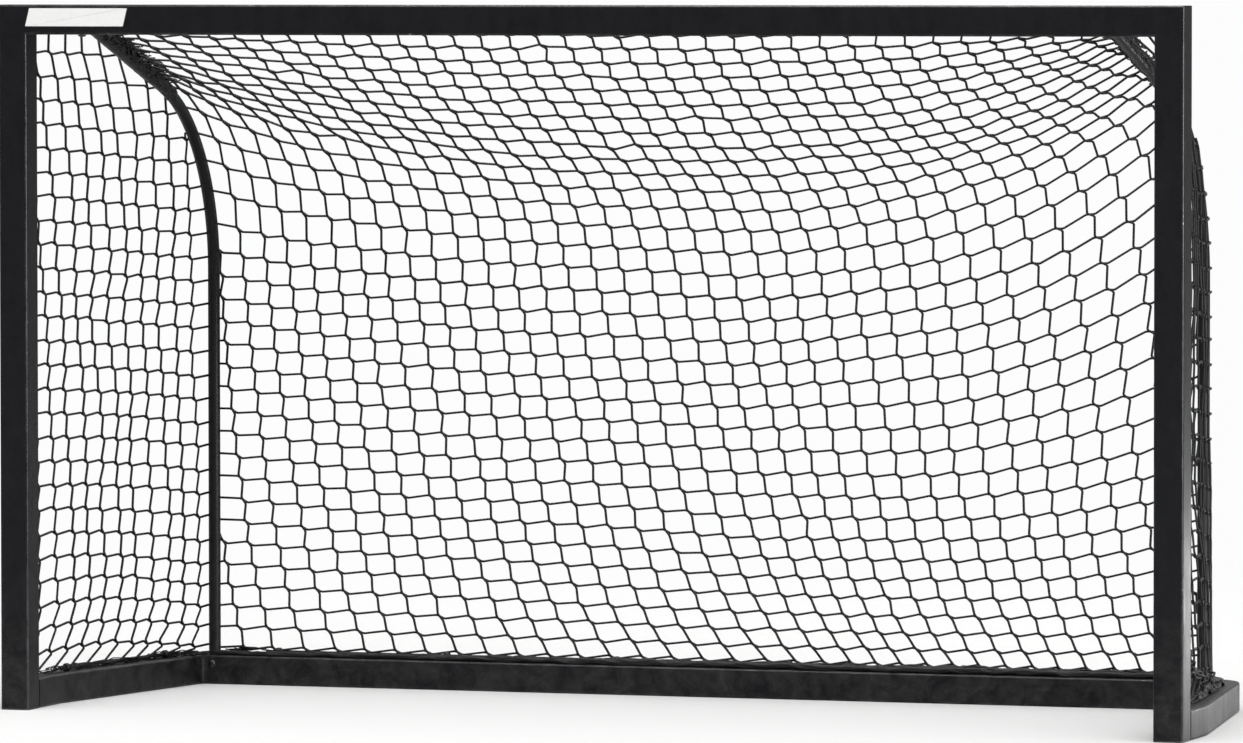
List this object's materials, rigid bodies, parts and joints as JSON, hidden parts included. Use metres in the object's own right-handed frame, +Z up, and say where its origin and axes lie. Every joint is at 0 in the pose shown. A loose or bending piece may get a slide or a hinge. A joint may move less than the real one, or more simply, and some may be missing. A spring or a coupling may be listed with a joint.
{
  "type": "floorball goal",
  "caption": "Low steel goal of square tube with a plug-in base frame, bent arches behind the mouth and a black knotless net over its sides, back and roof",
  "frame": {"origin": "on the floor, under the middle of the whole goal's bounding box", "axes": "+X along the crossbar to the right as seen from the front, +Y from the mouth to the back, +Z up"},
  "size_m": [1.39, 0.451, 0.8],
  "materials": {
    "frame_coat": "satin anthracite-black powder coat on steel square tube",
    "arch_coat": "satin black powder coat on round steel tube",
    "sleeve_steel": "bare zinc-plated steel inside the joints",
    "screw_steel": "black-passivated steel screws",
    "rod_steel": "black-coated steel rod",
    "plug_plastic": "moulded black plastic",
    "net_cord": "black braided knotless net cord",
    "label_film": "bare white printed film with a thin black edge"
  },
  "bodies": {
    "root": {"left_post": "frame_coat", "right_post": "frame_coat", "crossbar": "frame_coat", "left_side_rail": "frame_coat", "right_side_rail": "frame_coat", "rear_rail": "frame_coat", "left_arch": "arch_coat", "right_arch": "arch_coat", "left_front_sleeve": "sleeve_steel", "right_front_sleeve": "sleeve_steel", "left_rear_sleeve": "sleeve_steel", "right_rear_sleeve": "sleeve_steel", "left_front_sleeve_screw": "screw_steel", "right_front_sleeve_screw": "screw_steel", "left_rear_sleeve_screw": "screw_steel", "right_rear_sleeve_screw": "screw_steel", "left_arch_foot_screw": "screw_steel", "right_arch_foot_screw": "screw_steel", "left_arch_top_screw": "screw_steel", "right_arch_top_screw": "screw_steel", "left_post_end_plug": "plug_plastic", "right_post_end_plug": "plug_plastic", "left_post_net_rod": "rod_steel", "right_post_net_rod": "rod_steel", "left_rail_net_rod": "rod_steel", "right_rail_net_rod": "rod_steel", "crossbar_net_rod": "rod_steel", "rear_rail_net_rod": "rod_steel", "left_side_net": "net_cord", "right_side_net": "net_cord", "rear_net": "net_cord", "shoulder_net": "net_cord", "crown_net": "net_cord", "roof_net": "net_cord", "label_plate": "label_film"}
  },
  "joints": []
}
